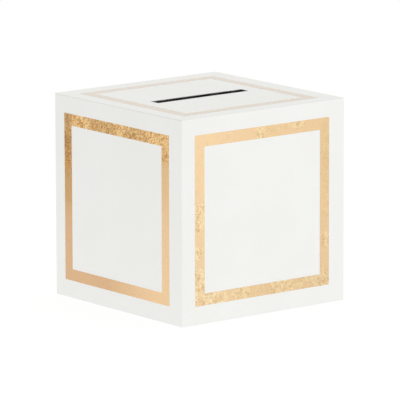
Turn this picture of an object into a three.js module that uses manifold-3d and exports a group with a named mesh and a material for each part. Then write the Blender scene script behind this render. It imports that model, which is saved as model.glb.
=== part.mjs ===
// Wedding card box: a one-piece die-cut folding carton in white coated board,
// with a tuck-top lid that carries a card slot, a snap-lock bottom and a
// hot-stamped gold foil frame on each upright panel and on the lid.
//
// Units: millimetres. +Z is up. The origin is on the resting plane, at the
// centre of the box. The front panel faces -Y, the lid is hinged at the back.

import * as THREE from 'three';
import { mergeVertices } from 'three/addons/utils/BufferGeometryUtils.js';
import Module from 'manifold-3d';

const wasm = await Module();
wasm.setup();

// ---------------------------------------------------------------- dimensions
const SIDE = 254; // the outside of the cube, 10 in
const HALF = SIDE / 2;
const BOARD = 0.8; // board thickness
const CORNER_R = 1.0; // outside radius of the upright creases
const BOTTOM_R = 0.5; // outside radius of the bottom creases
const GLUE = 0.02; // air between pieces that are stuck or folded together
const LAY = 0.06; // air between panels that lie loose on each other

const SLOT_LENGTH = 143; // passes a 5 x 7 in card's envelope, short side first
const SLOT_WIDTH = 16.5;
const SLOT_CORNER_R = 1.5;
const SLOT_CENTRE = [-3.3, -6.2]; // X and Y, a little off the lid's centre

const FRAME_OUTER = 210; // outside of the square foil frame
const FRAME_BAND = 14.7; // width of the foil band
const FRAME_CORNER_R = 1.0;
const FOIL = 0.1; // foil thickness
const FRONT_FRAME_SHIFT = [-2.0, 1.0]; // print register, along the panel and up
const LEFT_FRAME_SHIFT = [-2.8, 0.0];
const LID_FRAME_SHIFT = [-2.4, -2.0]; // in X and Y

const LID_HALF_WIDTH = HALF - 0.3;
const FRONT_CREASE_GAP = 0.3; // between the front panel and the lid's front crease
const TUCK_LENGTH = 30;
const TUCK_HALF_WIDTH = 124;
const TUCK_CORNER_R = 20;
const TUCK_LEAN = 5; // degrees that the tuck flap springs back from upright
const TUCK_FOLD = 50; // degrees that it can still fold in from there

const DUST_LENGTH = 50; // stops short of the card slot
const DUST_REAR_START = 5; // rear edge: distance from the lid's crease line,
const DUST_REAR_SLOPE = 0.62; // and how fast it slants away towards the tip
const DUST_FRONT = -118;

const TAB_WIDTH = 28; // glued seam tab
const TAB_TAPER = 9;

const INNER = HALF - BOARD; // inside face of the upright panels
const MID = HALF - BOARD / 2; // middle of the board's thickness
const LID_TOP = SIDE;
const LID_UNDER = SIDE - BOARD;
const LID_AXIS_Z = SIDE - BOARD / 2;
const DUST_AXIS_Z = LID_UNDER - LAY - BOARD / 2;
const FRONT_RIM_Z = SIDE - 0.15; // raw top edge of the front panel
const CREASE_END = BOARD / 2 + 0.05; // how far a hinged panel stops from its axis
const TUCK_AXIS_Y = -(INNER - FRONT_CREASE_GAP - BOARD / 2);

// bottom layers, from the table up: front flap, side flaps, back flap, tongue
const LAYER = BOARD + LAY;
const TONGUE_HALF_WIDTH = 28;
const SIDE_FLAP_GAP = 30; // half the gap that the tongue passes through

// ------------------------------------------------------------------ material
const finish = (color, roughness, metalness) =>
  new THREE.MeshStandardMaterial({ color, roughness, metalness });
const board = () => finish(0xf4f4f1, 0.55, 0);
const rawBoard = () => finish(0xece9e1, 0.8, 0);
const foil = () => finish(0xe6be8c, 0.3, 0.9);

// ------------------------------------------------------------------- solids
const solid = (geometry) => {
  let g = geometry.clone();
  g.deleteAttribute('normal');
  g.deleteAttribute('uv');
  g = mergeVertices(g, 1e-5);
  return new wasm.Manifold(
    new wasm.Mesh({
      numProp: 3,
      vertProperties: new Float32Array(g.attributes.position.array),
      triVerts: new Uint32Array(g.index.array),
    }),
  );
};

const geometryOf = (manifold) => {
  const m = manifold.getMesh();
  const g = new THREE.BufferGeometry();
  g.setAttribute('position', new THREE.BufferAttribute(new Float32Array(m.vertProperties), 3));
  g.setIndex(new THREE.BufferAttribute(new Uint32Array(m.triVerts), 1));
  return g;
};

const shapeOf = (points, holes = []) => {
  const shape = new THREE.Shape(points.map(([a, b]) => new THREE.Vector2(a, b)));
  for (const hole of holes)
    shape.holes.push(new THREE.Path(hole.map(([a, b]) => new THREE.Vector2(a, b))));
  return shape;
};

const extrude = (points, depth, holes) =>
  new THREE.ExtrudeGeometry(shapeOf(points, holes), { depth, bevelEnabled: false, steps: 1 });

// an outline in X and Y, raised from z0 to z1
const alongZ = (points, z0, z1, holes) => solid(extrude(points, z1 - z0, holes).translate(0, 0, z0));

// a section in Y and Z, drawn out from x0 to x1
const alongX = (points, x0, x1) =>
  solid(
    extrude(points, x1 - x0).applyMatrix4(
      new THREE.Matrix4().set(0, 0, 1, x0, 1, 0, 0, 0, 0, 1, 0, 0, 0, 0, 0, 1),
    ),
  );

// a section in X and Z, drawn out from y0 to y1
const alongY = (points, y0, y1) =>
  solid(
    extrude(points, y1 - y0).applyMatrix4(
      new THREE.Matrix4().set(1, 0, 0, 0, 0, 0, -1, y1, 0, 1, 0, 0, 0, 0, 0, 1),
    ),
  );

const arc = (cx, cy, r, from, to, steps) =>
  Array.from({ length: steps + 1 }, (_, i) => {
    const a = THREE.MathUtils.degToRad(from + ((to - from) * i) / steps);
    return [cx + r * Math.cos(a), cy + r * Math.sin(a)];
  });

const roundedRectangle = (cx, cy, hx, hy, r, steps = 5) => [
  ...arc(cx + hx - r, cy - hy + r, r, -90, 0, steps),
  ...arc(cx + hx - r, cy + hy - r, r, 0, 90, steps),
  ...arc(cx - hx + r, cy + hy - r, r, 90, 180, steps),
  ...arc(cx - hx + r, cy - hy + r, r, 180, 270, steps),
];

// the section of a sheet that steps up: its underside is given as points in
// (a, z), and its top side runs one board thickness above them
const sheetSection = (under) => [
  ...under,
  ...under
    .slice()
    .reverse()
    .map(([a, z]) => [a, z + BOARD]),
];

// ---------------------------------------------------------------- the panels
// Each upright panel is made as the front one and turned in quarter turns.
const mitre = 0.01 * Math.SQRT2;
const panelPlan = () => [
  [-INNER + mitre, -INNER],
  ...arc(-(HALF - CORNER_R) + mitre, -(HALF - CORNER_R), CORNER_R, 225, 270, 5),
  ...arc(HALF - CORNER_R - mitre, -(HALF - CORNER_R), CORNER_R, 270, 315, 5),
  [INNER - mitre, -INNER],
];

const panelSection = (top) => [
  ...arc(-(HALF - BOTTOM_R), BOTTOM_R, BOTTOM_R, 270, 180, 5).reverse(),
  [-INNER, 0],
  ...top,
];

// a raw cut edge, lightly broken by the die
const rawTop = (z) => [
  [-INNER, z - 0.08],
  [-INNER - 0.08, z],
  [-HALF + 0.12, z],
  [-HALF, z - 0.12],
];

// the rolled end of a crease, centred on the crease's axis
const rolledTop = (axisZ) => arc(-MID, axisZ, BOARD / 2, 0, 180, 8);

const turn = (geometry, quarterTurns) => {
  const c = [1, 0, -1, 0][quarterTurns];
  const s = [0, 1, 0, -1][quarterTurns];
  return geometry.applyMatrix4(
    new THREE.Matrix4().set(c, -s, 0, 0, s, c, 0, 0, 0, 0, 1, 0, 0, 0, 0, 1),
  );
};

const panel = (top, quarterTurns) =>
  turn(
    geometryOf(
      alongX(panelSection(top), -HALF, HALF).intersect(alongZ(panelPlan(), -1, SIDE + 1)),
    ),
    quarterTurns,
  );

// --------------------------------------------------------------- foil frames
// A square band on the front panel, then turned. shift is along the panel, to
// the right as it is seen from outside, and up.
const frameOutlines = (cx, cy) => {
  const h = FRAME_OUTER / 2;
  return [
    roundedRectangle(cx, cy, h, h, FRAME_CORNER_R),
    roundedRectangle(cx, cy, h - FRAME_BAND, h - FRAME_BAND, FRAME_CORNER_R * 0.5).reverse(),
  ];
};

const panelFrame = (quarterTurns, shift = [0, 0]) => {
  const [outer, inner] = frameOutlines(shift[0], SIDE / 2 + shift[1]);
  const g = extrude(outer, FOIL, [inner]).applyMatrix4(
    new THREE.Matrix4().set(1, 0, 0, 0, 0, 0, -1, -HALF - GLUE, 0, 1, 0, 0, 0, 0, 0, 1),
  );
  return turn(geometryOf(solid(g)), quarterTurns);
};

// ---------------------------------------------------------------- the object
const add = (parent, name, geometry, material) => {
  const mesh = new THREE.Mesh(geometry, material);
  mesh.name = name;
  parent.add(mesh);
  return mesh;
};

const cardBox = new THREE.Group();
const sleeve = new THREE.Group();
cardBox.add(sleeve);

add(sleeve, 'front_panel', panel(rawTop(FRONT_RIM_Z), 0), board());
add(sleeve, 'right_panel', panel(rolledTop(DUST_AXIS_Z), 1), board());
add(sleeve, 'back_panel', panel(rolledTop(LID_AXIS_Z), 2), board());
add(sleeve, 'left_panel', panel(rolledTop(DUST_AXIS_Z), 3), board());

add(sleeve, 'front_foil_frame', panelFrame(0, FRONT_FRAME_SHIFT), foil());
add(sleeve, 'right_foil_frame', panelFrame(1), foil());
add(sleeve, 'back_foil_frame', panelFrame(2), foil());
add(sleeve, 'left_foil_frame', panelFrame(3, LEFT_FRAME_SHIFT), foil());

// The seam tab folds in from the back panel and is glued inside the right one.
{
  const y1 = INNER - GLUE;
  const y0 = y1 - TAB_WIDTH;
  const section = [
    [y1, 4],
    [y1, 250],
    [y0, 250 - TAB_TAPER],
    [y0, 4 + TAB_TAPER],
  ].reverse();
  const x1 = INNER - GLUE;
  add(sleeve, 'seam_glue_tab', geometryOf(alongX(section, x1 - BOARD, x1)), rawBoard());
}

// Snap-lock bottom. Each flap starts at its panel's inside face and steps up
// over the ones below it.
{
  const edge = INNER - GLUE;

  // outermost: the front flap, with the tongue that locks over the back flap
  const outline = [
    [-edge + 1, -edge],
    [edge - 1, -edge],
    [edge - 4, -115],
    [114, -114],
    [112, -30],
    [96, -8],
    [TONGUE_HALF_WIDTH + 12, -8],
    [TONGUE_HALF_WIDTH + 1.2, -20],
    [TONGUE_HALF_WIDTH + 1.2, -46],
    [-TONGUE_HALF_WIDTH - 1.2, -46],
    [-TONGUE_HALF_WIDTH - 1.2, -20],
    [-TONGUE_HALF_WIDTH - 12, -8],
    [-96, -8],
    [-112, -30],
    [-114, -114],
    [-edge + 4, -115],
  ];
  const top = 3 * LAYER;
  const tongue = alongX(
    sheetSection([
      [-50, 0],
      [-43, 0],
      [-25, top],
      [27, top],
    ]),
    -TONGUE_HALF_WIDTH,
    TONGUE_HALF_WIDTH,
  ).intersect(
    alongZ(
      [
        [-TONGUE_HALF_WIDTH, -50],
        [TONGUE_HALF_WIDTH, -50],
        [TONGUE_HALF_WIDTH, 12],
        [TONGUE_HALF_WIDTH - 13, 27],
        [-TONGUE_HALF_WIDTH + 13, 27],
        [-TONGUE_HALF_WIDTH, 12],
      ],
      -1,
      10,
    ),
  );
  add(
    sleeve,
    'bottom_flap_front',
    geometryOf(alongZ(outline, 0, BOARD).add(tongue)),
    rawBoard(),
  );

  // second layer: the two side flaps
  const sideFlap = (s) =>
    alongY(
      sheetSection([
        [-edge, 0],
        [-edge + 8, LAYER],
        [-SIDE_FLAP_GAP, LAYER],
      ].map(([x, z]) => [s * -x, z])),
      -112,
      112,
    ).intersect(
      alongZ(
        [
          [-edge, -112],
          [-edge + 9, -112],
          [-62, -70],
          [-SIDE_FLAP_GAP, -62],
          [-SIDE_FLAP_GAP, 62],
          [-62, 96],
          [-edge + 9, 112],
          [-edge, 112],
        ].map(([x, y]) => [s * -x, y]),
        -1,
        10,
      ),
    );
  add(sleeve, 'bottom_flap_left', geometryOf(sideFlap(-1)), rawBoard());
  add(sleeve, 'bottom_flap_right', geometryOf(sideFlap(1)), rawBoard());

  // innermost: the back flap, whose front edge the tongue hooks over
  const back = alongX(
    sheetSection([
      [-14, 2 * LAYER],
      [edge - 11, 2 * LAYER],
      [edge, 0],
    ]),
    -124,
    124,
  ).intersect(
    alongZ(
      [
        [124, edge],
        [-124, edge],
        [-124, 40],
        [-100, 14],
        [-62, 14],
        [-46, -14],
        [46, -14],
        [62, 14],
        [100, 14],
        [124, 40],
      ],
      -1,
      10,
    ),
  );
  add(sleeve, 'bottom_flap_back', geometryOf(back), rawBoard());
}

// The lid turns about the crease along the back panel's top edge.
const lid = new THREE.Group();
lid.position.set(0, MID, LID_AXIS_Z);
cardBox.add(lid);
{
  const rear = -CREASE_END;
  const front = TUCK_AXIS_Y - MID;
  const section = [
    ...arc(front, 0, BOARD / 2, 90, 270, 8),
    [rear, -BOARD / 2],
    [rear, BOARD / 2],
  ];
  const slot = roundedRectangle(
    SLOT_CENTRE[0],
    SLOT_CENTRE[1] - MID,
    SLOT_LENGTH / 2,
    SLOT_WIDTH / 2,
    SLOT_CORNER_R,
  );
  const outline = [
    ...arc(-LID_HALF_WIDTH + 1, front - BOARD / 2 + 1, 1, 180, 270, 4),
    ...arc(LID_HALF_WIDTH - 1, front - BOARD / 2 + 1, 1, 270, 360, 4),
    [LID_HALF_WIDTH, rear],
    [-LID_HALF_WIDTH, rear],
  ];
  const plate = alongX(section, -HALF, HALF)
    .intersect(alongZ(outline, -2, 2))
    .subtract(alongZ(slot, -2, 2));
  add(lid, 'lid_panel', geometryOf(plate), board());

  const [outer, inner] = frameOutlines(LID_FRAME_SHIFT[0], LID_FRAME_SHIFT[1] - MID);
  add(
    lid,
    'lid_foil_frame',
    geometryOf(alongZ(outer, BOARD / 2 + GLUE, BOARD / 2 + GLUE + FOIL, [inner])),
    foil(),
  );
}

// The tuck flap turns about the lid's front crease. It is drawn hanging
// straight down, with the inside of its folded edge cut back, and leans in.
const tuck = new THREE.Group();
tuck.position.set(0, TUCK_AXIS_Y - MID, 0);
tuck.rotation.x = THREE.MathUtils.degToRad(TUCK_LEAN);
lid.add(tuck);
{
  const t = BOARD / 2;
  const section = [
    [-t, -CREASE_END - 0.05],
    [-t, -TUCK_LENGTH],
    [t, -TUCK_LENGTH],
    [t, -1.55],
  ];
  const outline = [
    [TUCK_HALF_WIDTH - 1.5, 0],
    [-TUCK_HALF_WIDTH + 1.5, 0],
    [-TUCK_HALF_WIDTH, -3],
    ...arc(-TUCK_HALF_WIDTH + TUCK_CORNER_R, -TUCK_LENGTH + TUCK_CORNER_R, TUCK_CORNER_R, 180, 270, 10),
    ...arc(TUCK_HALF_WIDTH - TUCK_CORNER_R, -TUCK_LENGTH + TUCK_CORNER_R, TUCK_CORNER_R, 270, 360, 10),
    [TUCK_HALF_WIDTH, -3],
  ];
  const flap = alongX(section, -HALF, HALF).intersect(alongY(outline, -2, 2));
  add(tuck, 'lid_tuck_flap', geometryOf(flap), board());
}

// The dust flaps turn about the side panels' top creases and lie under the lid.
const dustFlap = (s) => {
  const tip = CREASE_END + DUST_LENGTH;
  const rearAt = (d) => MID - DUST_REAR_START - DUST_REAR_SLOPE * d;
  return alongZ(
    [
      [CREASE_END, DUST_FRONT],
      [6, DUST_FRONT],
      [tip - 10, DUST_FRONT + 16],
      ...arc(tip - 8, DUST_FRONT + 25, 8, -70, 0, 5),
      [tip, rearAt(tip) - 5],
      [tip - 5, rearAt(tip - 5)],
      [CREASE_END, rearAt(CREASE_END)],
    ].map(([d, y]) => [-s * d, y]),
    -BOARD / 2,
    BOARD / 2,
  );
};
for (const [name, s] of [
  ['left_dust_flap', -1],
  ['right_dust_flap', 1],
]) {
  const hinge = new THREE.Group();
  hinge.position.set(s * MID, 0, DUST_AXIS_Z);
  cardBox.add(hinge);
  add(hinge, name, geometryOf(dustFlap(s)), board());
}

export default cardBox;
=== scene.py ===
import bpy, bmesh, math
from mathutils import Vector, Matrix
from mathutils.geometry import delaunay_2d_cdt

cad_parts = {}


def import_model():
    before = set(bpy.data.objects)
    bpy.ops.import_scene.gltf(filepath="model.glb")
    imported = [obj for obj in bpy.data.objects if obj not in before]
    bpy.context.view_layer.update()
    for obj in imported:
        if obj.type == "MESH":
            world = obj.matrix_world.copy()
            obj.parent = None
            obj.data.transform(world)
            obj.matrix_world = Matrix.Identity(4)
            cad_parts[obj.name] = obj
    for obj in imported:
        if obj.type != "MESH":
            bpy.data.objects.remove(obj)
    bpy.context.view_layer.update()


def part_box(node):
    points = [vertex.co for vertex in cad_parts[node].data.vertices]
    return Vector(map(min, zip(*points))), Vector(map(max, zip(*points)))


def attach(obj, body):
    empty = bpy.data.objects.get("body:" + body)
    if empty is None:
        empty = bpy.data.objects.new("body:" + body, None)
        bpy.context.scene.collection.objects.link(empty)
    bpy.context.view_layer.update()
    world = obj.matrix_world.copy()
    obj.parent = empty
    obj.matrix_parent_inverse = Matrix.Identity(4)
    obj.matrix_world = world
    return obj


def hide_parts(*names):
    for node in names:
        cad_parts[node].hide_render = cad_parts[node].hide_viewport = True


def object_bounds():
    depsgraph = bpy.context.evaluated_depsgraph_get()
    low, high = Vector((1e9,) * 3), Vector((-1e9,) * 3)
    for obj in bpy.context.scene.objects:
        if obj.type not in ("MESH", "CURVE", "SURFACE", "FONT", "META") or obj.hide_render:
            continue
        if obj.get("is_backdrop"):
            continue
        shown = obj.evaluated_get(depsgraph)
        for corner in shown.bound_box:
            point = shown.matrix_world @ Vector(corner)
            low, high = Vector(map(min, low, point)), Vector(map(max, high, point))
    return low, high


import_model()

scene = bpy.context.scene
MM = 0.001

# ------------------------------------------------------------ sizes, from the CAD
lo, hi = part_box("front_panel")
HALF = round(-lo.y * 1000, 3)  # 127
BOARD = round((hi.y - lo.y) * 1000, 3)  # 0.8
SIDE = round(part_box("back_panel")[1].z * 1000, 3)  # 254
INNER, MID = HALF - BOARD, HALF - BOARD / 2
FRONT_RIM_Z = round(hi.z * 1000, 3)
LID_AXIS = (MID, SIDE - BOARD / 2)  # y, z
SIDE_TOP = round(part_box("left_panel")[1].z * 1000, 3)
DUST_AXIS_Z = SIDE_TOP - BOARD / 2
TUCK_AXIS_Y = -(INNER - 0.3 - BOARD / 2)
CREASE_END = BOARD / 2 + 0.05
FRAME_OUTER, FRAME_BAND = 210.0, 14.7
SLOT_L, SLOT_W, SLOT_R = 143.0, 16.5, 1.5
SLOT_X, SLOT_Y = -3.3, -6.2
LAYER = BOARD + 0.06


# ------------------------------------------------------------------ the camera
def rotation_from_fit(yaw, pitch, roll):
    y, p, r = map(math.radians, (yaw, pitch, roll))
    fwd = Vector((math.sin(y) * math.cos(p), math.cos(y) * math.cos(p), -math.sin(p)))
    right = Vector((math.cos(y), -math.sin(y), 0))
    up = right.cross(fwd)
    r2 = right * math.cos(r) + up * math.sin(r)
    u2 = up * math.cos(r) - right * math.sin(r)
    m = Matrix((r2, u2, -fwd)).transposed()
    return m


cam_data = bpy.data.cameras.new("camera")
cam = bpy.data.objects.new("camera", cam_data)
scene.collection.objects.link(cam)
cam_data.sensor_fit = "HORIZONTAL"
cam_data.sensor_width = 36
cam_data.lens = 4788.8 * 36 / 400
cam_data.clip_start, cam_data.clip_end = 0.1, 200
cam.matrix_world = Matrix.Translation(Vector((-3605.3, -4569.7, 1247.75)) * MM) @ rotation_from_fit(38.2805, 10.9415, -0.167).to_4x4()
scene.camera = cam
cam_data.dof.use_dof = False
scene.view_settings.view_transform = "Standard"
scene.view_settings.look = "None"


# ------------------------------------------------------------------- node helpers
class Nodes:
    def __init__(self, name):
        self.mat = bpy.data.materials.new(name)
        self.mat.use_nodes = True
        self.t = self.mat.node_tree
        self.t.nodes.clear()
        self.out = self.t.nodes.new("ShaderNodeOutputMaterial")
        self.bsdf = self.t.nodes.new("ShaderNodeBsdfPrincipled")
        self.t.links.new(self.bsdf.outputs[0], self.out.inputs["Surface"])
        self.coord = self.t.nodes.new("ShaderNodeTexCoord").outputs["Object"]

    def link(self, a, b):
        self.t.links.new(a, b)

    def put(self, socket, v):
        if isinstance(v, bpy.types.NodeSocket):
            self.link(v, socket)
        else:
            socket.default_value = v

    def noise(self, scale, detail=2.0, rough=0.5, distortion=0.0, stretch=None, offset=None, colour=False):
        n = self.t.nodes.new("ShaderNodeTexNoise")
        n.inputs["Scale"].default_value = scale
        n.inputs["Detail"].default_value = detail
        n.inputs["Roughness"].default_value = rough
        n.inputs["Distortion"].default_value = distortion
        v = self.coord
        if stretch or offset:
            m = self.t.nodes.new("ShaderNodeMapping")
            m.inputs["Scale"].default_value = stretch or (1, 1, 1)
            m.inputs["Location"].default_value = offset or (0, 0, 0)
            self.link(v, m.inputs["Vector"])
            v = m.outputs[0]
        self.link(v, n.inputs["Vector"])
        return n.outputs["Color"] if colour else n.outputs["Fac"]

    def voronoi(self, scale, feature="F1", offset=None, distort=None, amount=0.0, randomness=1.0):
        n = self.t.nodes.new("ShaderNodeTexVoronoi")
        n.feature = feature
        n.inputs["Scale"].default_value = scale
        n.inputs["Randomness"].default_value = randomness
        v = self.coord
        if offset:
            m = self.t.nodes.new("ShaderNodeMapping")
            m.inputs["Location"].default_value = offset
            self.link(v, m.inputs["Vector"])
            v = m.outputs[0]
        if distort is not None:
            a = self.t.nodes.new("ShaderNodeVectorMath")
            a.operation = "SCALE"
            self.link(distort, a.inputs[0])
            a.inputs["Scale"].default_value = amount
            b = self.t.nodes.new("ShaderNodeVectorMath")
            self.link(v, b.inputs[0])
            self.link(a.outputs[0], b.inputs[1])
            v = b.outputs[0]
        self.link(v, n.inputs["Vector"])
        return n

    def wave(self, scale, distortion, detail, detail_scale, offset=None):
        n = self.t.nodes.new("ShaderNodeTexWave")
        n.bands_direction = "DIAGONAL"
        n.inputs["Scale"].default_value = scale
        n.inputs["Distortion"].default_value = distortion
        n.inputs["Detail"].default_value = detail
        n.inputs["Detail Scale"].default_value = detail_scale
        m = self.t.nodes.new("ShaderNodeMapping")
        m.inputs["Location"].default_value = offset or (0, 0, 0)
        self.link(self.coord, m.inputs["Vector"])
        self.link(m.outputs[0], n.inputs["Vector"])
        return n.outputs["Fac"]

    def math(self, op, a, b=0.0, c=0.0, clamp=False):
        n = self.t.nodes.new("ShaderNodeMath")
        n.operation = op
        n.use_clamp = clamp
        for s, v in zip(n.inputs, (a, b, c)):
            self.put(s, v)
        return n.outputs[0]

    def ramp(self, fac, lo_, hi_, a=0.0, b=1.0):
        n = self.t.nodes.new("ShaderNodeMapRange")
        n.interpolation_type = "SMOOTHSTEP"
        self.link(fac, n.inputs["Value"])
        for k, v in (("From Min", lo_), ("From Max", hi_), ("To Min", a), ("To Max", b)):
            n.inputs[k].default_value = v
        return n.outputs["Result"]

    def mix(self, fac, a, b, mode="MIX"):
        n = self.t.nodes.new("ShaderNodeMix")
        n.data_type = "RGBA"
        n.blend_type = mode
        self.put(n.inputs["Factor"], fac)
        for s, v in ((n.inputs[6], a), (n.inputs[7], b)):
            self.put(s, v if isinstance(v, bpy.types.NodeSocket) else (*v, 1.0) if len(v) == 3 else v)
        return n.outputs[2]

    def xyz(self):
        n = self.t.nodes.new("ShaderNodeSeparateXYZ")
        self.link(self.coord, n.inputs[0])
        return n.outputs[0], n.outputs[1], n.outputs[2]

    def bump(self, height, distance, strength=1.0, normal=None):
        n = self.t.nodes.new("ShaderNodeBump")
        n.inputs["Strength"].default_value = strength
        n.inputs["Distance"].default_value = distance
        self.link(height, n.inputs["Height"])
        if normal is not None:
            self.link(normal, n.inputs["Normal"])
        return n.outputs[0]

    def set(self, **kw):
        for k, v in kw.items():
            self.put(self.bsdf.inputs[k.replace("_", " ")], v)


# --------------------------------------------------------------------- materials
def board_outside(name, tint, cool=0.0):
    """Coated white board: a satin clay coat with a faint mottle, orange peel and the odd fibre under it."""
    m = Nodes(name)
    mottle = m.noise(14, 3, 0.55)
    fine = m.noise(260, 4, 0.6)
    a = tuple(tint)
    b = tuple(c * k for c, k in zip(tint, (0.985, 0.985, 0.975)))
    col = m.mix(m.ramp(mottle, 0.35, 0.65), a, b)
    fibre = m.noise(420, 1, 0.4, 1.5, stretch=(1.0, 1.0, 0.22))
    specks = m.ramp(fibre, 0.70, 0.80)
    col = m.mix(m.math("MULTIPLY", specks, 0.10), col, tuple(c * 0.9 for c in tint))
    m.set(Base_Color=col)
    m.set(Roughness=m.ramp(fine, 0.3, 0.7, 0.42, 0.54))
    m.bsdf.inputs["Specular IOR Level"].default_value = 0.42
    m.bsdf.inputs["Coat Weight"].default_value = 0.12
    m.bsdf.inputs["Coat Roughness"].default_value = 0.28
    n1 = m.bump(m.noise(900, 3, 0.6), 0.000012)
    n2 = m.bump(m.noise(55, 2, 0.5), 0.00005, 1.0, n1)
    m.set(Normal=n2)
    return m.mat


def board_inside(name):
    """The uncoated side: matt, a little greyer, with visible fibre."""
    m = Nodes(name)
    f1 = m.noise(620, 4, 0.7, 0.6, stretch=(1.0, 1.0, 0.35))
    f2 = m.noise(30, 3, 0.6)
    col = m.mix(m.ramp(f1, 0.35, 0.7), (0.85, 0.84, 0.81), (0.79, 0.775, 0.74))
    col = m.mix(m.ramp(f2, 0.3, 0.7, 0.0, 0.25), col, (0.81, 0.80, 0.765))
    m.set(Base_Color=col)
    m.bsdf.inputs["Roughness"].default_value = 0.85
    m.bsdf.inputs["Specular IOR Level"].default_value = 0.25
    m.set(Normal=m.bump(f1, 0.00004, 0.8))
    return m.mat


def board_core(name):
    """Die-cut edges: the pressed layers of the board show as fine fibrous lines."""
    m = Nodes(name)
    f = m.noise(2200, 3, 0.7, 0.8)
    g = m.noise(160, 2, 0.6)
    col = m.mix(m.ramp(f, 0.35, 0.65), (0.89, 0.88, 0.855), (0.78, 0.765, 0.73))
    col = m.mix(m.ramp(g, 0.4, 0.7, 0.0, 0.4), col, (0.89, 0.885, 0.865))
    m.set(Base_Color=col)
    m.bsdf.inputs["Roughness"].default_value = 0.92
    m.bsdf.inputs["Specular IOR Level"].default_value = 0.2
    m.set(Normal=m.bump(f, 0.00006))
    return m.mat


GOLD = (0.82, 0.592, 0.328)
GOLD_ROSE = (0.815, 0.578, 0.338)
GOLD_PALE = (1.0, 0.82, 0.50)


def foil(name, grain=None, feather=None, tint=None, base=GOLD, rose=GOLD_ROSE, offset=(0, 0, 0), coat_ior=1.35, edge_tint=(1.0, 1.0, 1.0)):
    """Stamped metallic foil. grain(m) and feather(m) give masks from 0 to 1 of where the foil has broken into
    sparkling grains or into soft frond-like wrinkles; elsewhere it lies smooth with slow cloudy changes.
    The grains' sparkle and the wrinkles' bright veins and dark squiggles are painted glints, painted highlights and
    painted shade in the colour.
    tint is a list of (mask function, colour) that shift the foil's tone over part of the frame; on the left and front
    frames these shifts are mostly painted reflection and sheen."""
    m = Nodes(name)
    clouds = m.noise(16, 3, 0.6, 0.4, offset=offset)
    col = m.mix(m.ramp(clouds, 0.35, 0.65), base, rose)
    streak = m.noise(75, 3, 0.65, 1.2, offset=offset)
    col = m.mix(m.ramp(streak, 0.52, 0.75, 0.0, 0.35), col, tuple(c * 0.88 for c in base))

    # soft wrinkles: patches a little paler, crossed by thin bright veins that curl like fronds; the veins' brightness
    # is painted highlight and the dark squiggles are painted shade
    vein = m.noise(250, 2, 0.5, 2.6, offset=offset)
    vein = m.ramp(m.math("ABSOLUTE", m.math("SUBTRACT", vein, 0.5)), 0.010, 0.055, 1.0, 0.0)
    hatch = m.ramp(m.wave(120, 22.0, 2.0, 0.9, offset), 0.60, 0.95)
    gaps = m.ramp(m.noise(120, 2, 0.5, offset=(4, 9, 1)), 0.42, 0.56)
    ridge = m.math("MULTIPLY", m.math("MAXIMUM", vein, m.math("MULTIPLY", hatch, 0.6)), gaps)
    if feather:
        fm = feather(m)
        col = m.mix(m.math("MULTIPLY", fm, 0.15), col, (0.96, 0.70, 0.37))
        # painted shade: dark squiggles over the wrinkled patches
        shade = m.ramp(m.noise(260, 3, 0.6, 0.8, offset=offset), 0.46, 0.60)
        col = m.mix(m.math("MULTIPLY", m.math("MULTIPLY", shade, fm), 0.60), col, (0.58, 0.36, 0.15))
        # painted highlight along the veins; the veins are also bumped into the surface further down
        col = m.mix(m.math("MULTIPLY", m.math("MULTIPLY", ridge, fm), 0.95), col, (1.0, 0.87, 0.55))

    # grains: each one a tiny facet, some dark, some bright; the dark ones are painted shade and the bright ones are
    # painted glints in the colour
    jag = m.noise(1300, 3, 0.65, offset=offset, colour=True)
    fac = m.voronoi(660, "F1", offset=offset, distort=jag, amount=0.0016)
    tone = m.t.nodes.new("ShaderNodeSeparateColor")
    m.link(fac.outputs["Color"], tone.inputs[0])
    g1 = m.noise(520, 2, 0.7, offset=offset)
    if grain:
        gm = grain(m)
        g2 = m.noise(95, 2, 0.6, 0.8, offset=offset)
        body = m.mix(m.ramp(g1, 0.36, 0.62), (0.66, 0.31, 0.075), (1.0, 0.60, 0.20))
        body = m.mix(m.ramp(g2, 0.50, 0.62, 0.0, 0.75), body, (0.58, 0.28, 0.06))
        col = m.mix(m.math("MULTIPLY", gm, 0.9), col, body)
        # painted shade on the dark facets and painted glints on the bright ones
        dark = m.math("MULTIPLY", m.ramp(tone.outputs[0], 0.66, 0.80), gm)
        light = m.math("MULTIPLY", m.ramp(tone.outputs[1], 0.58, 0.72), gm)
        col = m.mix(m.math("MULTIPLY", dark, 0.80), col, (0.40, 0.16, 0.03))
        col = m.mix(m.math("MULTIPLY", light, 0.85), col, (1.0, 0.76, 0.38))
        rough = m.math("ADD", m.ramp(streak, 0.3, 0.7, 0.20, 0.30), m.math("MULTIPLY", gm, 0.10))
    else:
        gm = None
        rough = m.ramp(streak, 0.3, 0.7, 0.20, 0.30)
    for mask, colour in tint or ():
        col = m.mix(mask(m), col, m.mix(1.0, col, colour, "MULTIPLY"))
    m.set(Base_Color=col, Roughness=rough)
    m.bsdf.inputs["Metallic"].default_value = 1.0
    m.bsdf.inputs["Coat Weight"].default_value = 1.0
    m.bsdf.inputs["Coat Roughness"].default_value = 0.16
    m.bsdf.inputs["Coat IOR"].default_value = coat_ior
    m.bsdf.inputs["Specular Tint"].default_value = (*edge_tint, 1.0)  # the metal's tint at a grazing angle
    n = m.bump(m.noise(210, 3, 0.6, 0.5, offset=offset), 0.00002)
    n = m.bump(ridge, 0.000015, 1.0, n)
    if gm is not None:
        n = m.bump(m.math("MULTIPLY", tone.outputs[2], gm), 0.00009, 0.8, n)
    m.set(Normal=n)
    return m.mat


WHITE = (0.892, 0.892, 0.873)
OUTSIDE = board_outside("coated_board", WHITE)
INSIDE = board_inside("uncoated_board")
CORE = board_core("cut_edge")
BOARD_MATS = (OUTSIDE, INSIDE, CORE)


def blotches(m, scale, lo_, hi_, offset=(0, 0, 0)):
    return m.ramp(m.noise(scale, 2, 0.6, 0.6, offset=offset), lo_, hi_)


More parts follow.
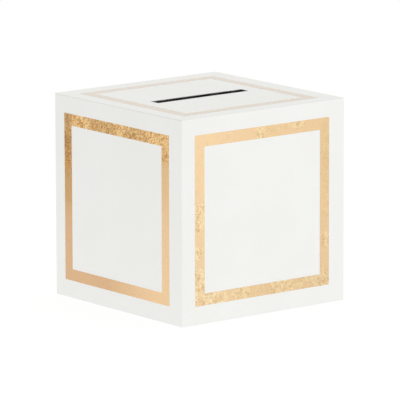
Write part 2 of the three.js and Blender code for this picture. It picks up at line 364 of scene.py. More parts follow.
def spots(m, across, places, edge=0.9):
    """A mask of soft-edged ragged patches on an upright panel. Each place is (a, z, half width, half height) in mm,
    with a measured along the panel's X or Y, whichever socket across is."""
    z = m.xyz()[2]
    rag = m.math("MULTIPLY", m.math("SUBTRACT", m.noise(85, 3, 0.6, offset=(6, 2, 4)), 0.5), 1.7)
    total = None
    for a, b, ra, rb in places:
        da = m.math("DIVIDE", m.math("SUBTRACT", across, a * MM), ra * MM)
        db = m.math("DIVIDE", m.math("SUBTRACT", z, b * MM), rb * MM)
        d = m.math("SQRT", m.math("ADD", m.math("MULTIPLY", da, da), m.math("MULTIPLY", db, db)))
        one = m.ramp(m.math("ADD", d, rag), edge, 1.25, 1.0, 0.0)
        total = one if total is None else m.math("MAXIMUM", total, one)
    return total


def left_grain(m):
    """The left frame is broken into grains along its top band and down the upper part of its rear band."""
    x, y, z = m.xyz()
    top = m.ramp(z, 0.204, 0.214)
    rear = m.math("MULTIPLY", m.ramp(y, 0.082, 0.090), m.ramp(z, 0.150, 0.172))
    front = m.math("MULTIPLY", m.ramp(y, -0.085, -0.087), m.ramp(z, 0.190, 0.206))
    near = m.math("MAXIMUM", m.math("MAXIMUM", top, rear), front)
    cloud = m.ramp(m.noise(38, 2, 0.6, offset=(3, 1, 2)), 0.30, 0.60, 0.70, 1.0)
    return m.math("MULTIPLY", near, cloud)


def painted_reflection_left_rear(m):
    """Painted reflection: the left frame's tone deepens towards the back, but not along the grained top band."""
    x, y, z = m.xyz()
    return m.math("MULTIPLY", m.ramp(y, -0.085, 0.035), m.ramp(z, 0.200, 0.213, 1.0, 0.0))


# painted reflection: the upper rear band a little darker and warmer, fading out in the top band
def painted_reflection_left_rear_top(m):
    x, y, z = m.xyz()
    return m.math("MULTIPLY", m.math("MULTIPLY", m.ramp(y, 0.080, 0.092), m.ramp(z, 0.116, 0.124)), m.ramp(z, 0.205, 0.218, 1.0, 0.15))


# painted reflection: the rear band's upper corner a little darker
def painted_reflection_left_rear_corner(m):
    x, y, z = m.xyz()
    return m.math("MULTIPLY", m.ramp(y, 0.088, 0.098), m.ramp(z, 0.170, 0.200))


# painted sheen: darker spots along the top band
def left_painted_dark_sheen(m):
    return spots(m, m.xyz()[1], [(25, 225, 22, 16), (-26, 219, 12, 7), (104, 228, 9, 14)])


# painted sheen: paler spots along the top band
def left_painted_bright_sheen(m):
    return spots(m, m.xyz()[1], [(76, 226, 16, 12), (-4, 226, 11, 12), (-84, 224, 22, 12)])


def left_warm(m):
    return spots(m, m.xyz()[1], [(-98, 178, 14, 38), (100, 150, 14, 60)], 0.5)


def front_feather(m):
    faint = spots(m, m.xyz()[0], [(98, 178, 8, 46), (100, 118, 7, 14), (22, 229, 26, 6), (-52, 229, 6, 7), (-3, 30, 14, 8)], 0.6)
    strong = spots(m, m.xyz()[0], [
        (-101, 131, 8, 21), (-101, 88, 7, 8), (-101, 61, 8, 9), (-98, 38, 12, 16), (-75, 30, 18, 9), (-36, 31, 13, 10),
        (26, 31, 20, 10), (60, 31, 8, 8), (90, 34, 17, 13), (97, 80, 7, 10), (-5, 226, 7, 9), (54, 229, 9, 6),
    ])
    return m.math("MAXIMUM", strong, m.math("MULTIPLY", faint, 0.38))


# painted reflection: the right band's upper part a little darker
def front_right_top_painted_reflection(m):
    return spots(m, m.xyz()[0], [(98, 190, 12, 48)], 0.5)


# painted highlight: the right band's lower part a little brighter and cooler
def front_right_low_painted_highlight(m):
    return spots(m, m.xyz()[0], [(98, 66, 12, 34)], 0.5)


def along_x(a, b):
    return lambda m: m.ramp(m.xyz()[0], a, b)


FOIL_LEFT = foil(
    "gold_foil_left", grain=left_grain,
    tint=[
        # the left frame's tone shifted by place: painted reflection and painted sheen, apart from the warm spots
        (painted_reflection_left_rear, (0.82, 0.75, 0.71)), (painted_reflection_left_rear_top, (0.93, 0.89, 0.76)), (painted_reflection_left_rear_corner, (0.86, 0.82, 0.76)),
        (left_painted_dark_sheen, (0.88, 0.84, 0.76)), (left_painted_bright_sheen, (1.10, 1.10, 1.10)), (left_warm, (1.02, 1.0, 0.91)),
    ],
    # the same gold set deeper on the left frame: painted shade
    base=(0.86, 0.595, 0.31), rose=(0.845, 0.575, 0.318), offset=(0.3, 0.7, 0.1),
)
FOIL_FRONT = foil(
    "gold_foil_front", feather=front_feather,
    tint=[
        # painted reflection: the frame darker and warmer towards the left, paler and cooler towards the right
        (along_x(-0.105, 0.03), (0.935, 0.915, 0.86)), (along_x(0.03, 0.11), (0.965, 0.97, 0.985)),
        (front_right_top_painted_reflection, (0.945, 0.95, 0.905)), (front_right_low_painted_highlight, (1.03, 1.03, 1.06)),
    ],
    # the same gold set paler on the front frame: painted reflection
    base=(0.862, 0.627, 0.362), rose=(0.855, 0.617, 0.370), offset=(1.1, 0.4, 0.9),
)
FOIL_LID = foil("gold_foil_lid", feather=lambda m: blotches(m, 22, 0.55, 0.68, (0.7, 1.2, 0.3)), base=(0.82, 0.605, 0.375), rose=(0.81, 0.595, 0.38), offset=(2.1, 1.4, 0.2), coat_ior=1.8, edge_tint=(0.905, 0.955, 1.0))
FOIL_RIGHT = foil("gold_foil_right", grain=lambda m: m.math("MULTIPLY", blotches(m, 17, 0.56, 0.66, (4, 4, 1)), 0.6), feather=lambda m: blotches(m, 22, 0.52, 0.64, (2, 6, 2)), offset=(0.9, 3.4, 1.2))
FOIL_BACK = foil("gold_foil_back", grain=lambda m: m.math("MULTIPLY", blotches(m, 15, 0.58, 0.68, (8, 3, 1)), 0.6), feather=lambda m: blotches(m, 24, 0.50, 0.64, (3, 9, 2)), offset=(4.1, 2.4, 3.2))


# ------------------------------------------------------------------ mesh helpers
def smoothstep(a, b, x):
    t = min(1.0, max(0.0, (x - a) / (b - a)))
    return t * t * (3 - 2 * t)


def arc(cx, cy, r, a0, a1, n):
    return [(cx + r * math.cos(math.radians(a0 + (a1 - a0) * i / n)), cy + r * math.sin(math.radians(a0 + (a1 - a0) * i / n))) for i in range(n + 1)]


def rounded_rect(cx, cy, hx, hy, r, n=6):
    return (
        arc(cx + hx - r, cy - hy + r, r, -90, 0, n)
        + arc(cx + hx - r, cy + hy - r, r, 0, 90, n)
        + arc(cx - hx + r, cy + hy - r, r, 90, 180, n)
        + arc(cx - hx + r, cy - hy + r, r, 180, 270, n)
    )


def tidy(points, eps=1e-6):
    out = []
    for p in points:
        if not out or (abs(p[0] - out[-1][0]) + abs(p[1] - out[-1][1])) > eps:
            out.append(p)
    if abs(out[0][0] - out[-1][0]) + abs(out[0][1] - out[-1][1]) < eps:
        out.pop()
    return out


def area(points):
    return sum(a[0] * b[1] - b[0] * a[1] for a, b in zip(points, points[1:] + points[:1])) / 2


def round_corners(points, radii):
    """The polygon with each corner rounded. radii is one number, or one for each corner."""
    n = len(points)
    if not isinstance(radii, (list, tuple)):
        radii = [radii] * n
    out = []
    for i, r in enumerate(radii):
        p0, p1, p2 = Vector(points[i - 1]), Vector(points[i]), Vector(points[(i + 1) % n])
        a, b = (p0 - p1), (p2 - p1)
        la, lb = a.length, b.length
        a.normalize(), b.normalize()
        half = math.acos(max(-1, min(1, a.dot(b)))) / 2
        if r < 1e-4 or abs(half - math.pi / 2) < 0.02:
            out.append(tuple(p1))
            continue
        d = min(r / math.tan(half), la * 0.48, lb * 0.48)
        r2 = d * math.tan(half)
        centre = p1 + (a + b).normalized() * (r2 / math.sin(half))
        s, e = p1 + a * d - centre, p1 + b * d - centre
        a0 = math.atan2(s.y, s.x)
        turn = (math.atan2(e.y, e.x) - a0 + math.pi) % (2 * math.pi) - math.pi
        steps = max(2, int(abs(turn) / math.radians(14)))
        for k in range(steps + 1):
            t = a0 + turn * k / steps
            out.append((centre.x + r2 * math.cos(t), centre.y + r2 * math.sin(t)))
    return out


def resample(points, step):
    out = []
    n = len(points)
    for i in range(n):
        a, b = points[i], points[(i + 1) % n]
        length = math.hypot(b[0] - a[0], b[1] - a[1])
        k = max(1, math.ceil(length / step - 1e-6))
        out += [(a[0] + (b[0] - a[0]) * j / k, a[1] + (b[1] - a[1]) * j / k) for j in range(k)]
    return out


def inside(p, loop):
    x, y = p
    c = False
    for i in range(len(loop)):
        (x1, y1), (x2, y2) = loop[i - 1], loop[i]
        if (y1 > y) != (y2 > y) and x < (x2 - x1) * (y - y1) / (y2 - y1) + x1:
            c = not c
    return c


def inset_loop(loop, d):
    """Each point moved d towards the left of the direction of travel."""
    out = []
    n = len(loop)
    for i in range(n):
        p0, p1, p2 = Vector(loop[i - 1]), Vector(loop[i]), Vector(loop[(i + 1) % n])
        t1, t2 = (p1 - p0).normalized(), (p2 - p1).normalized()
        n1, n2 = Vector((-t1.y, t1.x)), Vector((-t2.y, t2.x))
        m = (n1 + n2)
        k = m.dot(n1)
        m = m / k if k > 0.2 else n1
        q = p1 + m * d
        out.append((q.x, q.y))
    return out


def make_object(name, verts, faces, mats, face_mats, smooth_angle=32):
    mesh = bpy.data.meshes.new(name)
    mesh.from_pydata([Vector(v) * MM for v in verts], [], faces)
    for mt in mats:
        mesh.materials.append(mt)
    mesh.polygons.foreach_set("material_index", face_mats)
    mesh.polygons.foreach_set("use_smooth", [True] * len(faces))
    bm = bmesh.new()
    bm.from_mesh(mesh)
    bmesh.ops.recalc_face_normals(bm, faces=bm.faces)
    open_edges = [e for e in bm.edges if len(e.link_faces) != 2]
    if open_edges:
        print("OPEN", name, len(open_edges))
    if bm.calc_volume(signed=True) < 0:
        bmesh.ops.reverse_faces(bm, faces=bm.faces)
    bm.to_mesh(mesh)
    bm.free()
    mesh.set_sharp_from_angle(angle=math.radians(smooth_angle))
    obj = bpy.data.objects.new(name, mesh)
    scene.collection.objects.link(obj)
    return obj


def sheet(name, outline, holes, place, body, mats=BOARD_MATS, step=6.0, thick=None, edge=0.1, node=None, lines=(), soft_ends=()):
    """A sheet of board cut to outline, with holes. place(p, q, t) puts a point of the flat sheet in the row frame;
    t runs from 0 on the outside face to 1 on the inside one. lines are (axis, value) creases that the mesh follows."""
    thick = BOARD if thick is None else thick
    node = node or name
    outline = tidy(outline)
    if area(outline) < 0:
        outline.reverse()
    holes = [tidy(h) for h in holes]
    holes = [h[::-1] if area(h) > 0 else h for h in holes]
    loops = [resample(l, step) for l in [outline] + holes]
    inner_loops = [inset_loop(l, edge) for l in loops]
    pts, constraints = [], []
    for l in inner_loops:
        s = len(pts)
        pts += l
        constraints += [(s + i, s + (i + 1) % len(l)) for i in range(len(l))]
    nb = len(pts)
    xs = [p[0] for p in outline]
    ys = [p[1] for p in outline]

    def grid(a, b, axis):
        marks = sorted({a, b, *[v for ax, v in lines if ax == axis and a < v < b]})
        g = []
        for u, v in zip(marks, marks[1:]):
            k = max(1, round((v - u) / step))
            g += [u + (v - u) * i / k for i in range(k)]
        return g + [b]

    flat = [p for l in inner_loops for p in l]
    keep = {}
    for p in flat:
        keep.setdefault((int(p[0] // step), int(p[1] // step)), []).append(p)
    for gx in grid(min(xs), max(xs), 0)[1:-1]:
        for gy in grid(min(ys), max(ys), 1)[1:-1]:
            if not inside((gx, gy), inner_loops[0]) or any(inside((gx, gy), h) for h in inner_loops[1:]):
                continue
            cx, cy = int(gx // step), int(gy // step)
            if any(math.hypot(q[0] - gx, q[1] - gy) < step * 0.42 for i in (-1, 0, 1) for j in (-1, 0, 1) for q in keep.get((cx + i, cy + j), ())):
                continue
            pts.append((gx, gy))
    out = delaunay_2d_cdt([Vector(p) for p in pts], constraints, [], 0, 1e-7)
    v2, tri = out[0], out[2]
    if len(v2) != len(pts):
        print("CDT changed", name, len(v2), len(pts))
    tri = [t for t in tri if inside((sum(v2[i][0] for i in t) / 3, sum(v2[i][1] for i in t) / 3), inner_loops[0]) and not any(inside((sum(v2[i][0] for i in t) / 3, sum(v2[i][1] for i in t) / 3), h) for h in inner_loops[1:])]
    n = len(v2)
    e = edge / thick
    verts = [place(p[0], p[1], 0.0) for p in v2] + [place(p[0], p[1], 1.0) for p in v2]
    faces = [tuple(t) for t in tri] + [tuple(n + i for i in reversed(t)) for t in tri]
    fm = [0] * len(tri) + [1] * len(tri)
    # rim: two rings that break the cut edge's corners
    orig = out[3]
    index = {}
    for new, olds in enumerate(orig):
        for o in olds:
            index[o] = new
    s = 0
    for l in loops:
        k = len(l)
        r1 = len(verts)
        verts += [place(p[0], p[1], e) for p in l]
        r2 = len(verts)
        verts += [place(p[0], p[1], 1 - e) for p in l]
        for i in range(k):
            j = (i + 1) % k
            a, b = index[s + i], index[s + j]
            faces += [(b, a, r1 + i, r1 + j), (r1 + j, r1 + i, r2 + i, r2 + j), (r2 + j, r2 + i, n + a, n + b)]
            fm += [0, 2, 1]
        s += k
    obj = make_object(name + "_look", verts, faces, mats, fm)
    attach(obj, body)
    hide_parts(node)
    return obj


# ------------------------------------------------------- how each panel bows, in mm
def c(x):
    return math.cos(math.pi * x / (2 * HALF))


def bow_front(u, z):
    w = max(0.0, min(1.0, z / SIDE))
    return c(u) * (0.30 * math.sin(math.pi * w) + 0.32 * w**3) + 0.05 * c(u) * math.sin(3 * math.pi * w) * math.sin(2 * math.pi * u / SIDE)


def bow_left(u, z):
    w = max(0.0, min(1.0, z / SIDE))
    return -c(u) * 0.34 * math.sin(math.pi * w) + 0.08 * math.sin(2 * math.pi * u / SIDE) * math.sin(math.pi * w)


def bow_back(u, z):
    w = max(0.0, min(1.0, z / SIDE))
    return c(u) * 0.38 * math.sin(math.pi * w)


def bow_right(u, z):
    w = max(0.0, min(1.0, z / SIDE))
    return c(u) * 0.26 * math.sin(math.pi * w) - 0.06 * math.sin(2 * math.pi * u / SIDE) * math.sin(math.pi * w)


def bow_lid(x, y):
    """The lid crowns a little, and its two lips at the card slot stand a hair proud."""
    d = max(abs(x - SLOT_X) - SLOT_L / 2, 0.0)
    lip = 0.10 * math.exp(-(max(abs(y - SLOT_Y) - SLOT_W / 2, 0) / 14) ** 2) * math.exp(-((d / 20) ** 2)) * c(x)
    return 0.30 * c(x) * c(y) + lip


# wall name: quarter turns, top, bow. Local u runs to the right as seen from outside.
WALLS = {
    "front_panel": (0, "raw", bow_front),
    "right_panel": (1, "rolled", bow_right),
    "back_panel": (2, "lid", bow_back),
    "left_panel": (3, "rolled", bow_left),
}


def turned(p, k):
    x, y, z = p
    return ((x, y, z), (-y, x, z), (-x, -y, z), (y, -x, z))[k]


def wall(name):
    quarter, top, bow = WALLS[name]
    R, r = 1.0, 0.5
    m = 0.0  # the folded sheet runs on round the corner
    # columns: (outer u, outer inset, inner u)
    cols = []
    n = 7
    for i in range(n + 1):
        a = math.radians(225 + 45 * i / n)
        cols.append((-(HALF - R) + m + R * math.cos(a), R + R * math.sin(a), -INNER + m + 0.5 * i / n))
    inner_step = 7.0
    k = round(2 * (HALF - R - 1.6) / inner_step)
    for i in range(k + 1):
        u = -(HALF - R - 1.6) + 2 * (HALF - R - 1.6) * i / k
        cols.append((u, 0.0, u))
    cols += [(-a, b, -cc) for a, b, cc in reversed(cols[: n + 1])]
    # section: (depth from the outside face, z), from the outer bottom up, over the top, down the inside
    sec = [(r - r * math.sin(math.radians(90 * i / 6)), r - r * math.cos(math.radians(90 * i / 6))) for i in range(7)]
    z_top = {"raw": FRONT_RIM_Z, "rolled": DUST_AXIS_Z, "lid": LID_AXIS[1]}[top]
    zs = []
    z, z1 = 2.2, z_top - 2.0
    k = round((z1 - z) / inner_step)
    zs = [z + (z1 - z) * i / k for i in range(k + 1)]
    outer_n = len(sec)
    sec += [(0.0, q) for q in zs]
    if top == "raw":
        sec += [(0.0, z_top - 0.14), (0.05, z_top - 0.04), (0.14, z_top), (BOARD - 0.12, z_top), (BOARD - 0.03, z_top - 0.03), (BOARD, z_top - 0.12)]
    else:
        t = BOARD / 2
        sec += [(t - t * math.cos(math.radians(180 * i / 12)), z_top + t * math.sin(math.radians(180 * i / 12))) for i in range(13)]
    sec += [(BOARD, q) for q in reversed(zs)]
    sec += [(BOARD, r), (BOARD, 0.0)]
    K, C = len(sec), len(cols)
    verts = []
    for uo, inset, ui in cols:
        for d, z in sec:
            f = d / BOARD
            u = uo + (ui - uo) * f
            v = -HALF + d + inset * (1 - f)
            verts.append(turned((u, v - bow(u, z), z), quarter))
    faces, fm = [], []
    first_rim = outer_n + len(zs)
    last_rim = K - 2 - len(zs) - 1
    for i in range(C - 1):
        for j in range(K):
            j2 = (j + 1) % K
            faces.append((i * K + j, i * K + j2, (i + 1) * K + j2, (i + 1) * K + j))
            if j < first_rim:
                fm.append(0)
            elif top == "raw" and first_rim <= j <= last_rim:
                fm.append(2)
            elif j <= last_rim:
                fm.append(0)
            elif j == K - 1:
                fm.append(0)
            else:
                fm.append(1)
    # mitred ends: quads between the outside and the inside at the same height
    outer_idx = [K - 1] + list(range(0, first_rim))
    for base, flip in ((0, False), ((C - 1) * K, True)):
        o = list(range(0, first_rim))  # up the outside
        rim = list(range(first_rim, last_rim + 1))
        inn = list(range(last_rim + 1, last_rim + 1 + len(zs)))  # down the inside
        # bottom: outer points below the first inner row
        bottom = [K - 1] + o[:outer_n] + [o[outer_n]] + [inn[-1]] + [K - 2]
        f = [base + q for q in bottom]
        faces.append(tuple(f if not flip else reversed(f)))
        fm.append(2)
        for q in range(len(zs) - 1):
            f = [base + outer_n + q, base + outer_n + q + 1, base + inn[len(zs) - 2 - q], base + inn[len(zs) - 1 - q]]
            faces.append(tuple(f if not flip else reversed(f)))
            fm.append(2)
        f = [base + q for q in [o[-1]] + rim + [inn[0]]]
        faces.append(tuple(f if not flip else reversed(f)))
        fm.append(2)
    obj = make_object(name + "_look", verts, faces, BOARD_MATS, fm, 40)
    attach(obj, "sleeve")
    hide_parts(name)
    return obj


for w in WALLS:
    wall(w)


# -------------------------------------------------------------------- foil frames
def frame_loops(cx, cy):
    h = FRAME_OUTER / 2
    return rounded_rect(cx, cy, h, h, 1.0), rounded_rect(cx, cy, h - FRAME_BAND, h - FRAME_BAND, 0.5)


def panel_foil(node, wall_name, mat):
    quarter, _, bow = WALLS[wall_name]
    lo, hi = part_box(node)
    span = {0: (lo.x, hi.x), 1: (lo.y, hi.y), 2: (-hi.x, -lo.x), 3: (-hi.y, -lo.y)}[quarter]
    cu, cz = (span[0] + span[1]) * 500, (lo.z + hi.z) * 500
    outer, inner = frame_loops(cu, cz)

    def place(u, z, t):
        return turned((u, -HALF - bow(u, z) - 0.055 + 0.05 * t, z), quarter)

    return sheet(node, outer, [inner], place, "sleeve", (mat, mat, mat), step=4.9, thick=0.05, edge=0.012)


panel_foil("front_foil_frame", "front_panel", FOIL_FRONT)
panel_foil("right_foil_frame", "right_panel", FOIL_RIGHT)
panel_foil("back_foil_frame", "back_panel", FOIL_BACK)
panel_foil("left_foil_frame", "left_panel", FOIL_LEFT)
lo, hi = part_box("lid_foil_frame")
outer, inner = frame_loops((lo.x + hi.x) * 500, (lo.y + hi.y) * 500)
sheet("lid_foil_frame", outer, [inner], lambda x, y, t: (x, y, SIDE + bow_lid(x, y) + 0.055 - 0.05 * t), "lid", (FOIL_LID,) * 3, step=4.9, thick=0.05, edge=0.012)


# ---------------------------------------------------------------------- the lid
def lid():
    lid_half = HALF - 0.05
    t = BOARD / 2
    front = TUCK_AXIS_Y
    rear = MID - CREASE_END
    # section from the top rear, forward, round the front roll, and back along the underside
    step = 6.0
    ys = []
    hx, hy, rr = SLOT_L / 2, SLOT_W / 2, SLOT_R
    marks = [rear - 0.10, *[SLOT_Y + v for v in (hy + 30, hy, hy - rr, rr - hy, -hy, -hy - 30)], front]
    for a, b in zip(marks, marks[1:]):
        k = max(1, round(abs(b - a) / step))
        ys += [a + (b - a) * i / k for i in range(k)]
    ys.append(front)
    half = lid_half - 0.10
    xmarks = [-half, *[SLOT_X + v for v in (-hx - 20, -hx, rr - hx, hx - rr, hx, hx + 20)], half]
    xs = []
    for a, b in zip(xmarks, xmarks[1:]):
        k = max(1, round(abs(b - a) / step))
        xs += [a + (b - a) * i / k for i in range(k)]
    xs.append(half)
    bm = bmesh.new()
    cache = {}

    def vert(x, y, z):
        key = (round(x, 4), round(y, 4), round(z, 4))
        if key not in cache:
            cache[key] = bm.verts.new(Vector((x, y, z + (bow_lid(x, y) if y >= front else bow_lid(x, front)))) * MM)
        return cache[key]

    faces_mat = {}

    def face(vs, mat):
        vs2 = []
        for v in vs:
            if v not in vs2:
                vs2.append(v)
        if len(vs2) < 3:
            return
        f = bm.faces.new(vs2)
        f.material_index = mat
        f.smooth = True

    top, bot = SIDE, SIDE - BOARD
    e = 0.08  # broken corners of the slot's cut edge
    corner_n = 5

    def slot_cell(x0, x1, y1, y0):
        """None if clear of the slot, 'hole' if in it, or the corner's signs."""
        cx, cy = (x0 + x1) / 2 - SLOT_X, (y0 + y1) / 2 - SLOT_Y
        if abs(cx) > hx or abs(cy) > hy:
            return None
        if abs(cx) > hx - rr and abs(cy) > hy - rr:
            return (math.copysign(1, cx), math.copysign(1, cy))
        return "hole"

    for i in range(len(xs) - 1):
        for j in range(len(ys) - 1):
            x0, x1, y1, y0 = xs[i], xs[i + 1], ys[j], ys[j + 1]  # y1 is the rear one
            cell = slot_cell(x0, x1, y1, y0)
            if cell == "hole":
                continue
            if cell is None:
                poly = [(x0, y0), (x1, y0), (x1, y1), (x0, y1)]
            else:
                sx, sy = cell
                cx, cy = SLOT_X + sx * (hx - rr), SLOT_Y + sy * (hy - rr)
                arc_pts = [(cx + sx * rr * math.cos(math.radians(90 * q / corner_n)), cy + sy * rr * math.sin(math.radians(90 * q / corner_n))) for q in range(corner_n + 1)]
                poly = [(SLOT_X + sx * hx, SLOT_Y + sy * hy)] + arc_pts[::-1]
                if area(poly) < 0:
                    poly = poly[::-1]
            face([vert(x, y, top) for x, y in poly], 0)
            face([vert(x, y, bot) for x, y in reversed(poly)], 1)

    # the slot's cut edge
    loop = []
    for sx, sy, a0 in ((1, 1, 0), (-1, 1, 90), (-1, -1, 180), (1, -1, 270)):
        cx, cy = SLOT_X + sx * (hx - rr), SLOT_Y + sy * (hy - rr)
        loop += [(cx + rr * math.cos(math.radians(a0 + 90 * q / corner_n)), cy + rr * math.sin(math.radians(a0 + 90 * q / corner_n))) for q in range(corner_n + 1)]
    # add the grid's points along the straight edges
    full = []
    for p, q in zip(loop, loop[1:] + loop[:1]):
        full.append(p)
        if abs(p[1] - q[1]) < 1e-6 and abs(p[0] - q[0]) > rr:
            mids = [x for x in xs if min(p[0], q[0]) + 1e-4 < x < max(p[0], q[0]) - 1e-4]
            full += [(x, p[1]) for x in sorted(mids, reverse=p[0] > q[0])]
        elif abs(p[0] - q[0]) < 1e-6 and abs(p[1] - q[1]) > 1e-3:
            mids = [y for y in ys if min(p[1], q[1]) + 1e-4 < y < max(p[1], q[1]) - 1e-4]
            full += [(p[0], y) for y in sorted(mids, reverse=p[1] > q[1])]
    rings = [(top, 0.0), (top - e, -e), (bot + e, -e), (bot, 0.0)]

    def shrink(p, d):
        x, y = p
        cx = SLOT_X + max(-(hx - rr), min(hx - rr, x - SLOT_X))
        cy = SLOT_Y + max(-(hy - rr), min(hy - rr, y - SLOT_Y))
        v = Vector((x - cx, y - cy))
        if v.length < 1e-6:
            return p
        v.normalize()
        return (x + v.x * d, y + v.y * d)

    for (za, da), (zb, db) in zip(rings, rings[1:]):
        for p, q in zip(full, full[1:] + full[:1]):
            face([vert(*shrink(p, da), za), vert(*shrink(q, da), za), vert(*shrink(q, db), zb), vert(*shrink(p, db), zb)], 2)

    # the front roll
    n = 10
    roll = [(front - t * math.sin(math.radians(180 * q / n)), SIDE - t + t * math.cos(math.radians(180 * q / n))) for q in range(n + 1)]
    for i in range(len(xs) - 1):
        for (ya, za), (yb, zb) in zip(roll, roll[1:]):
            face([vert(xs[i], ya, za), vert(xs[i], yb, zb), vert(xs[i + 1], yb, zb), vert(xs[i + 1], ya, za)], 0)
    # the raw side edges: rings just outside the top and bottom faces
    for sx, x in ((-1, xs[0]), (1, xs[-1])):
        outx = x + sx * 0.10
        path_top = [(y, top) for y in ys] + roll[1:-1]
        path = [(y, top) for y in ys] + roll[1:-1] + [(y, bot) for y in reversed(ys)]
        def edge_point(y, z):
            if y >= front - 1e-6:
                zz = top - 0.10 if z > SIDE - t else bot + 0.10
                return (outx, y, zz)
            k = 1 - 0.10 / t
            return (outx, front + (y - front) * k, SIDE - t + (z - SIDE + t) * k)
        ep = [edge_point(y, z) for y, z in path]
        ip = [(x, y, z) for y, z in path]
        for a in range(len(path) - 1):
            f = [vert(*ip[a]), vert(*ip[a + 1]), vert(*ep[a + 1]), vert(*ep[a])]
            face(f if sx < 0 else f[::-1], 0)
        # the flat of the cut edge, as strips across the board's thickness
        m = len(ys)
        for a in range(m - 1):
            f = [vert(*ep[a]), vert(*ep[a + 1]), vert(*ep[len(path) - 2 - a]), vert(*ep[len(path) - 1 - a])]
            face(f if sx < 0 else f[::-1], 2)
        f = [vert(*ep[q]) for q in range(m - 1, len(path) - m + 1)]
        face(f if sx < 0 else f[::-1], 2)
    # the rear edge, at the hinge crease
    yr = ys[0]
    for i in range(len(xs) - 1):
        a = [(xs[i], yr, top), (xs[i], yr + 0.10, top - 0.10), (xs[i], yr + 0.10, bot + 0.10), (xs[i], yr, bot)]
        b = [(xs[i + 1], y, z) for _, y, z in a]
        for q in range(3):
            face([vert(*a[q]), vert(*b[q]), vert(*b[q + 1]), vert(*a[q + 1])], 0 if q == 0 else 2 if q == 1 else 1)
    for sx, x in ((-1, xs[0]), (1, xs[-1])):
        outx = x + sx * 0.10
        a = [(x, yr, top), (x, yr + 0.10, top - 0.10), (x, yr + 0.10, bot + 0.10), (x, yr, bot)]
        b = [(outx, yr, top - 0.10), (outx, yr, bot + 0.10)]
        for tri in ([a[0], b[0], a[1]], [a[3], a[2], b[1]]):
            face([vert(*p) for p in tri], 2)
        face([vert(*a[1]), vert(*b[0]), vert(*b[1]), vert(*a[2])], 2)
    bmesh.ops.recalc_face_normals(bm, faces=bm.faces)
    open_edges = [ed for ed in bm.edges if len(ed.link_faces) != 2]
    if open_edges:
        print("OPEN lid", len(open_edges), [tuple(round(cc * 1000, 2) for cc in v.co) for v in open_edges[0].verts])
    if bm.calc_volume(signed=True) < 0:
        bmesh.ops.reverse_faces(bm, faces=bm.faces)
    mesh = bpy.data.meshes.new("lid_panel_look")
    bm.to_mesh(mesh)
    bm.free()
    for mt in BOARD_MATS:
        mesh.materials.append(mt)
    mesh.set_sharp_from_angle(angle=math.radians(40))
    obj = bpy.data.objects.new("lid_panel_look", mesh)
    scene.collection.objects.link(obj)
    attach(obj, "lid")
    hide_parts("lid_panel")
    return obj


lid()

# ----------------------------------------------------------------- the tuck flap
TUCK_HALF, TUCK_LEN, TUCK_R = 124.0, 30.0, 20.0
tuck_outline = (
    [(-TUCK_HALF, 3.0)]
    + arc(-TUCK_HALF + TUCK_R, TUCK_LEN - TUCK_R, TUCK_R, 180, 90, 12)
    + arc(TUCK_HALF - TUCK_R, TUCK_LEN - TUCK_R, TUCK_R, 90, 0, 12)
    + [(TUCK_HALF, 3.0), (TUCK_HALF - 1.5, CREASE_END + 0.05), (-TUCK_HALF + 1.5, CREASE_END + 0.05)]
)


def tuck_place(x, s, q):
    """s runs down the flap from its crease. The flap curls in a little towards its free edge."""
    lean = math.radians(5)
    t = BOARD / 2
    depth = -t + BOARD * q
    if q > 0.5:  # the folded edge is cut back on the inside, so that it can fold in
        s = max(s, CREASE_END + 0.05 + (1.55 - CREASE_END) * (q - 0.5) * 2)
    curl = 0.9 * (s / TUCK_LEN) ** 2.2
    y = (depth + curl) * math.cos(lean) + s * math.sin(lean)
    z = (depth + curl) * math.sin(lean) - s * math.cos(lean)
    return (x, TUCK_AXIS_Y + y, LID_AXIS[1] + z)


sheet("lid_tuck_flap", tuck_outline, [], tuck_place, "tuck_flap", step=4.0, edge=0.08)


# ---------------------------------------------------------------- the dust flaps
def dust(name, s, body):
    tip = CREASE_END + 50
    rear = lambda d: MID - 5 - 0.62 * d
    outline = [
        (CREASE_END, -118.0), (6, -118.0), (tip - 10, -102.0), (tip, -93.0),
        (tip, rear(tip) - 5), (tip - 5, rear(tip - 5)), (CREASE_END, rear(CREASE_END)),
    ]
    outline = round_corners(outline, [0, 2, 6, 8, 4, 4, 0])

    def place(d, y, q):
        droop = 0.7 * (d / tip) ** 2
        return (s * (MID - d), y, DUST_AXIS_Z + BOARD / 2 - BOARD * q - droop)

    return sheet(name, outline, [], place, body, step=5.0, edge=0.08)


dust("left_dust_flap", -1, "left_dust")
dust("right_dust_flap", 1, "right_dust")

# --------------------------------------------------------------- the seam tab
edge = INNER - 0.02


# the tab's outside face is glued to the right panel, so its inside face is what shows
sheet(
    "seam_glue_tab",
    round_corners([(edge - 28, 13), (edge, 4), (edge, 250), (edge - 28, 241)], [2.5, 0, 0, 2.5]),
    [],
    lambda y, z, q: (edge - BOARD * q + bow_right(y, z), y, z),
    "sleeve",
    step=7.0,
    edge=0.08,
)


# ------------------------------------------------------------- the locked bottom
def path_z(points):
    """Height of the underside of a stepped flap at a distance along it, with eased bends."""
    def f(a):
        if a <= points[0][0]:
            return points[0][1]
        for (a0, z0), (a1, z1) in zip(points, points[1:]):
            if a <= a1:
                return z0 + (z1 - z0) * smoothstep(0, 1, (a - a0) / (a1 - a0)) if z0 != z1 else z0
        return points[-1][1]
    return f


